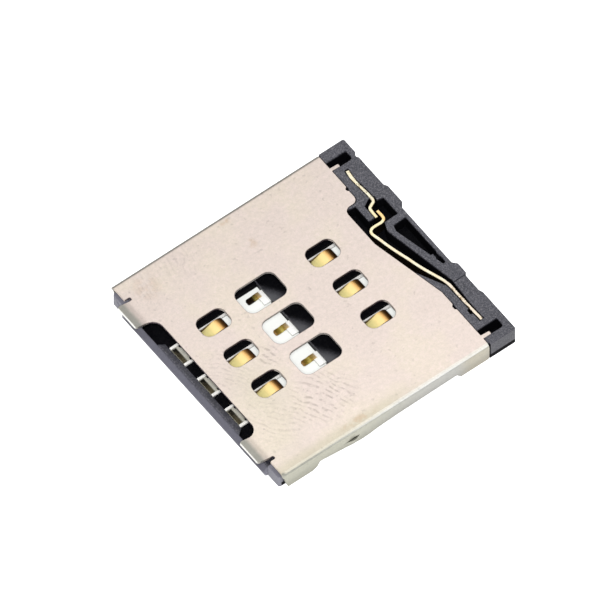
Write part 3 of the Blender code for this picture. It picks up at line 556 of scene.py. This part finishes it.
def make_floor():
    """The pale paper, white to the camera, that takes the reader's shadow."""
    bm = bmesh.new()
    bmesh.ops.create_grid(bm, x_segments=2, y_segments=2, size=FLOOR_HALF)
    bmesh.ops.translate(bm, vec=(0.0, 0.0, -FLOOR_GAP * MM), verts=bm.verts)
    mesh = bpy.data.meshes.new("floor")
    bm.to_mesh(mesh)
    bm.free()
    floor = bpy.data.objects.new("floor", mesh)
    bpy.context.scene.collection.objects.link(floor)
    f = Finish("floor_paper")
    cloud = f.noise(0.02, 2.0, 0.5)
    under = f.x.band(*SHADED_X, 0.4) * f.y.band(*SHADED_Y, 0.4)
    pale = f.mix(cloud, (0.80, 0.80, 0.79), (0.82, 0.82, 0.81))
    tint = f.mix(under, pale, (0.465, 0.47, 0.455))
    paper = f.node("ShaderNodeBsdfDiffuse", None, {"Color": tint})
    seen = f.node("ShaderNodeLightPath", output="Is Camera Ray")
    glow = f.mix(under, (1.0, 1.0, 1.0), (0.59, 0.60, 0.58))
    # No light reaches the paper through the holes of the switch strips' pins
    pins = f.y.band(*PINS_Y[0], 0.05) + f.y.band(*PINS_Y[1], 0.05)
    glow = f.mix(pins * f.x.band(*PINS_X, 0.05), glow, (0.01, 0.01, 0.01))
    # The paper also lights the dull black underside that rests on it
    spread = f.node("ShaderNodeLightPath", output="Is Diffuse Ray")
    strength = seen * 0.80 + spread * 0.60
    white = f.node("ShaderNodeEmission", None, {"Color": glow, "Strength": strength})
    sheet = f.node("ShaderNodeAddShader", None, {0: paper, 1: white})
    # From below the floor isn't seen, so that it doesn't hide the underside
    clear = f.node("ShaderNodeBsdfTransparent")
    below = f.node("ShaderNodeNewGeometry", output="Backfacing")
    both = f.node("ShaderNodeMixShader", None, {0: below, 1: sheet, 2: clear})
    mesh.materials.append(f.output(both))


WORLD_TINT = (0.96, 0.98, 1.0, 1.0)
WORLD_STRENGTH = 0.45


def make_world():
    """An even pale light, which the camera sees as plain white."""
    world = bpy.data.worlds.new("studio")
    bpy.context.scene.world = world
    world.use_nodes = True
    tree = world.node_tree
    tree.nodes.clear()
    light = tree.nodes.new("ShaderNodeBackground")
    light.inputs["Color"].default_value = WORLD_TINT
    light.inputs["Strength"].default_value = WORLD_STRENGTH
    white = tree.nodes.new("ShaderNodeBackground")
    white.inputs["Color"].default_value = (1.0, 1.0, 1.0, 1.0)
    path = tree.nodes.new("ShaderNodeLightPath")
    mix = tree.nodes.new("ShaderNodeMixShader")
    out = tree.nodes.new("ShaderNodeOutputWorld")
    tree.links.new(path.outputs["Is Camera Ray"], mix.inputs[0])
    tree.links.new(light.outputs[0], mix.inputs[1])
    tree.links.new(white.outputs[0], mix.inputs[2])
    tree.links.new(mix.outputs[0], out.inputs["Surface"])


def make_lamp(name, azimuth, elevation, distance, size, watts, mirrored=True):
    """A square soft lamp that looks at the middle of the reader. Metal may mirror it or not."""
    a, e = math.radians(azimuth), math.radians(elevation)
    back = Vector((math.sin(a) * math.cos(e), -math.cos(a) * math.cos(e), math.sin(e)))
    lamp = bpy.data.lights.new(name, "AREA")
    lamp.shape = "SQUARE"
    lamp.size = size
    lamp.energy = watts
    holder = bpy.data.objects.new(name, lamp)
    holder.location = back * distance
    holder.rotation_mode = "QUATERNION"
    holder.rotation_quaternion = (-back).to_track_quat("-Z", "Y")
    holder.visible_glossy = mirrored
    bpy.context.scene.collection.objects.link(holder)


# Camera: far off and level in scale, as the photograph shows no perspective on so small a part
CAMERA_AZIMUTH = math.radians(37.19)
CAMERA_ELEVATION = math.radians(57.05)
PHOTO_SIDE_PX = 600
PIXELS_PER_MM = 17.976
CAMERA_DISTANCE = 0.5
CAMERA_CLIP = (0.01, 5.0)
CAMERA_TARGET = Vector((7.76, 7.86, 0.7))
TARGET_SHIFT_PX = (-9.43, 17.49)


def make_camera():
    """The photograph's view, without perspective."""
    right = Vector((math.cos(CAMERA_AZIMUTH), -math.sin(CAMERA_AZIMUTH), 0.0))
    flat = math.cos(CAMERA_ELEVATION)
    back = Vector(
        (
            -flat * math.sin(CAMERA_AZIMUTH),
            -flat * math.cos(CAMERA_AZIMUTH),
            math.sin(CAMERA_ELEVATION),
        )
    )
    up = back.cross(right)
    camera = bpy.data.cameras.new("camera")
    camera.type = "ORTHO"
    camera.ortho_scale = PHOTO_SIDE_PX / PIXELS_PER_MM * MM
    camera.clip_start, camera.clip_end = CAMERA_CLIP
    camera.dof.use_dof = False
    holder = bpy.data.objects.new("camera", camera)
    target = (CAMERA_TARGET - ORIGIN) * MM
    across, along = [px / PIXELS_PER_MM * MM for px in TARGET_SHIFT_PX]
    place = target + back * CAMERA_DISTANCE + right * across + up * along
    turn = Matrix((right, up, back)).transposed().to_4x4()
    holder.matrix_world = Matrix.Translation(place) @ turn
    bpy.context.scene.collection.objects.link(holder)
    bpy.context.scene.camera = holder


# The pressed floor of each front contact's tail, which lies just under the stamped opening
TAIL_SIDES = (-2.465, -2.22)
TAIL_FLOOR_HALF = 0.64
TAIL_FLOOR_Z = (0.062, 0.078)
TAIL_RIBS = 5
STEPS_PER_RIB = 8
RIB_DEPTH = 0.35


def make_tail_floors(material):
    """Thin ribbed plates between the tails' bars, one mesh for the three front contacts."""
    bm = bmesh.new()
    low, high = TAIL_FLOOR_Z
    count = STEPS_PER_RIB * TAIL_RIBS
    for column in (-1, 0, 1):
        middle = ORIGIN.y + column * COLUMN_PITCH
        rows = []
        for k in range(count + 1):
            y = middle + TAIL_FLOOR_HALF * (2 * k / count - 1)
            rib = 0.5 - 0.5 * math.cos(math.tau * TAIL_RIBS * k / count)
            top = high - (high - low) * RIB_DEPTH * rib
            ends = [FRONT_ROW_X + side for side in TAIL_SIDES]
            corners = ((ends[0], top), (ends[1], top), (ends[1], low), (ends[0], low))
            rows.append([bm.verts.new((Vector((x, y, z)) - ORIGIN) * MM) for x, z in corners])
        for one, other in zip(rows, rows[1:]):
            for k in range(4):
                bm.faces.new((one[k], one[k - 3], other[k - 3], other[k]))
        bm.faces.new(rows[0][::-1])
        bm.faces.new(rows[-1])
    bmesh.ops.recalc_face_normals(bm, faces=bm.faces)
    mesh = bpy.data.meshes.new("tail_floors")
    bm.to_mesh(mesh)
    bm.free()
    mesh.materials.append(material)
    floors = bpy.data.objects.new("tail_floors", mesh)
    bpy.context.scene.collection.objects.link(floors)
    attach(floors, "reader")


def tail_finish():
    """Olive-brown metal in painted shade, darker towards the far side of each tail."""
    f = Finish("tail_shade")
    across = column_offset(f)
    streaks = f.noise(7.0, 3.0, 0.6, stretch=(0.4, 1.6, 1.0))
    # Painted shade, darkest towards the far side
    colour = f.mix(across.step(0.45, -0.40), (0.006, 0.005, 0.003), (0.085, 0.070, 0.040))
    colour = f.mix(streaks.step(0.50, 0.64) * 0.35, colour, (0.17, 0.15, 0.10))
    rough = streaks * 0.2 + 0.40
    normal = f.bump(streaks, 0.004, 0.7, edge_normal(f, 0.01))
    return f.surface({"Base Color": colour, "Metallic": 0.3, "Roughness": rough, "Normal": normal})


# The switch's two strips on edge, whose cut edges wander a little where the base holds them
FIXED_PATH = (
    (15.11, 14.04),
    (15.03, 13.50),
    (15.05, 12.86),
    (15.11, 12.00),
    (15.04, 11.58),
    (14.80, 11.43),
    (14.60, 11.30),
    (14.55, 11.00),
    (14.54, 10.60),
)
ARM_PATH = (
    (14.83, 10.93),
    (14.84, 10.52),
    (14.78, 10.28),
    (14.56, 10.18),
    (14.26, 10.18),
    (13.92, 10.17),
    (13.72, 10.04),
    (13.68, 9.80),
    (13.80, 9.25),
    (13.96, 8.48),
    (14.24, 7.45),
    (14.52, 6.41),
    (14.79, 5.63),
    (14.98, 5.05),
    (15.07, 4.50),
    (15.08, 3.60),
    (15.10, 2.90),
    (15.12, 1.70),
)
FIXED_PIN_AT = (15.03, 13.50)
ARM_PIN_AT = (15.10, 2.90)
PATH_STEPS = 8
# Corners of a strip's outline, and of the outline with its pin
RING_CORNERS = 6
PIN_RING_CORNERS = 8
STRIP_HALF = 0.086
WIDER_END = 0.014
STRIP_ROUND = 0.018
STRIP_TOP = 1.28
STRIP_BOTTOM = 0.45
PIN_FOOT_Z = 0.02
PIN_HALF = 0.15
# The base holds the strips at both ends of the block, and the far end is a little wider
HELD_BELOW_Y = 4.9
HELD_ABOVE_Y = 11.7
WIDE_ABOVE_Y = 12.95
# How much of its unevenness the strip keeps where nothing holds it
FREE_SHARE = 0.25
# How far the strip's width, place and top wander, how fast, and a different run for each
WIDTH_WANDER = 0.010
SIDE_WANDER = 0.016
TOP_WANDER = 0.012
WANDER_RATE = 2.6
WANDER_GAIN = 1.6
WANDER_RUN = 7.3


def smooth_path(points, steps):
    """Points along a curve through the given ones."""
    ends = [points[0], *points, points[-1]]
    path = []
    for a, b, c, d in zip(ends, ends[1:], ends[2:], ends[3:]):
        bend = 2 * a - 5 * b + 4 * c - d
        twist = 3 * b - a - 3 * c + d
        for k in range(steps):
            t = k / steps
            path.append((2 * b + (c - a) * t + bend * t**2 + twist * t**3) * 0.5)
    return path + [points[-1]]


def wander(y, kind):
    """A slow uneven change along the strip, from about -1 to 1."""
    return noise.noise(Vector((y * WANDER_RATE, WANDER_RUN * kind, 0.5))) * WANDER_GAIN


def strip_ring(bm, point, side, footed):
    """The strip's outline across one place of its path, and its pin's two lower corners."""
    held = 1.0 if point.y < HELD_BELOW_Y or point.y > HELD_ABOVE_Y else FREE_SHARE
    half = STRIP_HALF + held * WIDTH_WANDER * wander(point.y, 1)
    if point.y > WIDE_ABOVE_Y:
        half += WIDER_END
    middle = point + side * held * SIDE_WANDER * (wander(point.y, 2) - 1)
    top = STRIP_TOP - held * TOP_WANDER * (1 + wander(point.y, 3))
    inner = half - STRIP_ROUND
    outline = ((-half, STRIP_BOTTOM), (-half, top - STRIP_ROUND), (-inner, top))
    outline += ((inner, top), (half, top - STRIP_ROUND), (half, STRIP_BOTTOM))
    if footed:
        outline += ((half, PIN_FOOT_Z), (-half, PIN_FOOT_Z))
    ring = []
    for away, z in outline:
        place = middle + side * away
        ring.append(bm.verts.new((Vector((place.x, place.y, z)) - ORIGIN) * MM))
    return ring


def make_strip(node, points, pin_at, body, material):
    """A strip that stands for its CAD node, with the pin below it."""
    path = smooth_path([Vector(point) for point in points], PATH_STEPS)
    pin = Vector(pin_at)
    bm = bmesh.new()
    pinned = [(point - pin).length < PIN_HALF for point in path]
    rings = []
    for k, point in enumerate(path):
        ahead, behind = path[min(k + 1, len(path) - 1)], path[max(k - 1, 0)]
        along = (ahead - behind).normalized()
        side = Vector((-along.y, along.x))
        rings.append(strip_ring(bm, point, side, pinned[k] or pinned[max(k - 1, 0)]))
    for one, other, has_pin in zip(rings, rings[1:], pinned):
        count = PIN_RING_CORNERS if has_pin else RING_CORNERS
        for k in range(count):
            after = (k + 1) % count
            bm.faces.new((one[k], one[after], other[after], other[k]))
    # The pin's two ends, and the strip's
    footed = [ring for ring in rings if len(ring) == PIN_RING_CORNERS]
    for ring in (footed[0], footed[-1]):
        bm.faces.new((ring[0], *ring[RING_CORNERS - 1 :]))
    bm.faces.new(rings[0][:RING_CORNERS])
    bm.faces.new(rings[-1][:RING_CORNERS])
    bmesh.ops.recalc_face_normals(bm, faces=bm.faces)
    mesh = bpy.data.meshes.new(node + "_look")
    bm.to_mesh(mesh)
    bm.free()
    mesh.materials.append(material)
    strip = bpy.data.objects.new(node + "_look", mesh)
    bpy.context.scene.collection.objects.link(strip)
    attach(strip, body)
    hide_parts(node)


def paint(node, material):
    """A finish on every material slot of a CAD node."""
    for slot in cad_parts[node].material_slots:
        slot.material = material


def main():
    """Paints the CAD nodes, adds the fine meshes and sets up the stage."""
    switch_plating = switch_finish()
    finishes = {
        "cover_shell": (cover_finish(), "cover_metal"),
        "base_housing": (base_finish(), "base_plastic"),
        "switch_fixed_contact": (switch_plating, "switch_metal"),
        "switch_spring_arm": (switch_plating, "switch_metal"),
    }
    plating = contact_finish()
    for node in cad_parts:
        material, slot = finishes.get(node, (plating, "contact_metal"))
        paint(node, material)
    make_tail_floors(tail_finish())
    make_strip("switch_fixed_contact", FIXED_PATH, FIXED_PIN_AT, "reader", switch_plating)
    make_strip("switch_spring_arm", ARM_PATH, ARM_PIN_AT, "switch_arm", switch_plating)
    make_floor()
    make_world()
    # The roof mirrors the overhead lamp, and everything else is lit by the one in front
    make_lamp("lamp_overhead", azimuth=143, elevation=62, distance=0.50, size=0.50, watts=0.69)
    make_lamp(
        "lamp_front",
        azimuth=-37,
        elevation=58,
        distance=0.70,
        size=0.16,
        watts=4.40,
        mirrored=False,
    )
    make_camera()
    bpy.context.scene.view_settings.view_transform = "Standard"


main()
